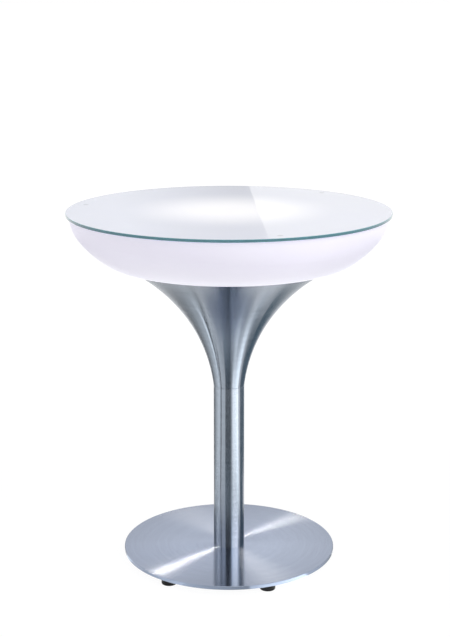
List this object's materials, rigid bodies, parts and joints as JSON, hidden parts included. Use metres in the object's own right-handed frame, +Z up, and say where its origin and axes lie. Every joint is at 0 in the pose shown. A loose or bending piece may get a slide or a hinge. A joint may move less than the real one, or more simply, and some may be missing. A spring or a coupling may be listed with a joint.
{
  "type": "light up led table",
  "caption": "Round glass topped table with a glowing bowl under the glass, on a flared steel column and a disc base with levelling feet.",
  "frame": {"origin": "on the floor, on the axis of the column", "axes": "+Z up along the column, -Y towards the front, where the lamp unit's panel faces, +X to the right"},
  "size_m": [0.6649, 0.665, 0.75],
  "materials": {
    "brushed_base": "circular brushed stainless steel",
    "brushed_column": "brushed stainless steel",
    "turned_steel": "turned steel",
    "zinc_steel": "bright zinc plate",
    "pressed_steel": "grey painted pressing",
    "opal_shell": "translucent opal polyethylene, satin",
    "clear_bumper": "clear silicone",
    "satin_glass": "clear float glass, satin underside, polished edge",
    "black_rubber": "black moulded foot",
    "opal_dome": "opal diffuser, satin",
    "white_plastic": "moulded white plastic",
    "grey_plastic": "moulded grey plastic",
    "light_plate": "mill finish sheet",
    "white_board": "white solder mask",
    "green_board": "green solder mask",
    "light_chip": "clear resin over phosphor",
    "black_chip": "moulded black resin",
    "cell_wrap": "shrink-wrapped cell",
    "contact_metal": "nickel plated spring brass"
  },
  "bodies": {
    "frame": {"base_plate": "brushed_base", "column_tube": "brushed_column", "column_foot_plug": "turned_steel", "column_head_plug": "turned_steel", "trumpet_cone": "brushed_column", "mount_pan": "pressed_steel", "tie_rod": "zinc_steel", "rod_washers": "zinc_steel", "rod_nuts": "zinc_steel", "bowl_shell": "opal_shell", "bowl_bolts": "zinc_steel", "bowl_washers": "zinc_steel", "bowl_nuts": "zinc_steel", "glass_bumpers": "clear_bumper", "lamp_ring": "white_plastic", "ring_screws": "zinc_steel"},
    "glass": {"glass_top": "satin_glass"},
    "lamp_unit": {"lamp_housing": "white_plastic", "lamp_feet": "black_rubber", "light_plate": "light_plate", "plate_screws": "zinc_steel", "light_board": "white_board", "light_chips": "light_chip", "diffuser_dome": "opal_dome", "battery_tray": "grey_plastic", "battery_cells": "cell_wrap", "battery_contacts": "contact_metal", "control_board": "green_board", "board_screws": "zinc_steel", "board_parts": "black_chip", "charge_socket": "zinc_steel", "push_switch": "black_chip"},
    "button": {"power_button": "grey_plastic"},
    "foot_1": {"foot_pad_1": "black_rubber"},
    "stud_1": {"foot_stud_1": "zinc_steel"},
    "foot_2": {"foot_pad_2": "black_rubber"},
    "stud_2": {"foot_stud_2": "zinc_steel"},
    "foot_3": {"foot_pad_3": "black_rubber"},
    "stud_3": {"foot_stud_3": "zinc_steel"},
    "foot_4": {"foot_pad_4": "black_rubber"},
    "stud_4": {"foot_stud_4": "zinc_steel"},
    "foot_5": {"foot_pad_5": "black_rubber"},
    "stud_5": {"foot_stud_5": "zinc_steel"},
    "foot_6": {"foot_pad_6": "black_rubber"},
    "stud_6": {"foot_stud_6": "zinc_steel"}
  },
  "joints": [
    {"name": "glass_lift", "type": "slide", "parent": "frame", "child": "glass", "axis": [0, 0, 1], "range_m": [0, 0.15]},
    {"name": "lamp_lift", "type": "slide", "parent": "frame", "child": "lamp_unit", "axis": [0, 0, 1], "range_m": [0, 0.028]},
    {"name": "button_press", "type": "slide", "parent": "lamp_unit", "child": "button", "axis": [0, 1, 0], "range_m": [0, 0.001], "stiffness_N_per_m": 1500},
    {"name": "foot_1_drop", "type": "slide", "parent": "frame", "child": "foot_1", "axis": [0, 0, -1], "range_m": [0, 0.003]},
    {"name": "stud_1_turn", "type": "hinge", "parent": "foot_1", "child": "stud_1", "pos_m": [-0.12273, -0.1617, 0.01], "axis": [0, 0, -1], "range_deg": [0, 864]},
    {"name": "foot_2_drop", "type": "slide", "parent": "frame", "child": "foot_2", "axis": [0, 0, -1], "range_m": [0, 0.003]},
    {"name": "stud_2_turn", "type": "hinge", "parent": "foot_2", "child": "stud_2", "pos_m": [0.07867, -0.18714, 0.01], "axis": [0, 0, -1], "range_deg": [0, 864]},
    {"name": "foot_3_drop", "type": "slide", "parent": "frame", "child": "foot_3", "axis": [0, 0, -1], "range_m": [0, 0.003]},
    {"name": "stud_3_turn", "type": "hinge", "parent": "foot_3", "child": "stud_3", "pos_m": [0.2014, -0.02544, 0.01], "axis": [0, 0, -1], "range_deg": [0, 864]},
    {"name": "foot_4_drop", "type": "slide", "parent": "frame", "child": "foot_4", "axis": [0, 0, -1], "range_m": [0, 0.003]},
    {"name": "stud_4_turn", "type": "hinge", "parent": "foot_4", "child": "stud_4", "pos_m": [0.12273, 0.1617, 0.01], "axis": [0, 0, -1], "range_deg": [0, 864]},
    {"name": "foot_5_drop", "type": "slide", "parent": "frame", "child": "foot_5", "axis": [0, 0, -1], "range_m": [0, 0.003]},
    {"name": "stud_5_turn", "type": "hinge", "parent": "foot_5", "child": "stud_5", "pos_m": [-0.07867, 0.18714, 0.01], "axis": [0, 0, -1], "range_deg": [0, 864]},
    {"name": "foot_6_drop", "type": "slide", "parent": "frame", "child": "foot_6", "axis": [0, 0, -1], "range_m": [0, 0.003]},
    {"name": "stud_6_turn", "type": "hinge", "parent": "foot_6", "child": "stud_6", "pos_m": [-0.2014, 0.02544, 0.01], "axis": [0, 0, -1], "range_deg": [0, 864]}
  ],
  "couplings": [
    {"joint": "stud_1_turn", "follows": "foot_1_drop", "rad_per_m": 5026.5},
    {"joint": "stud_2_turn", "follows": "foot_2_drop", "rad_per_m": 5026.5},
    {"joint": "stud_3_turn", "follows": "foot_3_drop", "rad_per_m": 5026.5},
    {"joint": "stud_4_turn", "follows": "foot_4_drop", "rad_per_m": 5026.5},
    {"joint": "stud_5_turn", "follows": "foot_5_drop", "rad_per_m": 5026.5},
    {"joint": "stud_6_turn", "follows": "foot_6_drop", "rad_per_m": 5026.5}
  ]
}
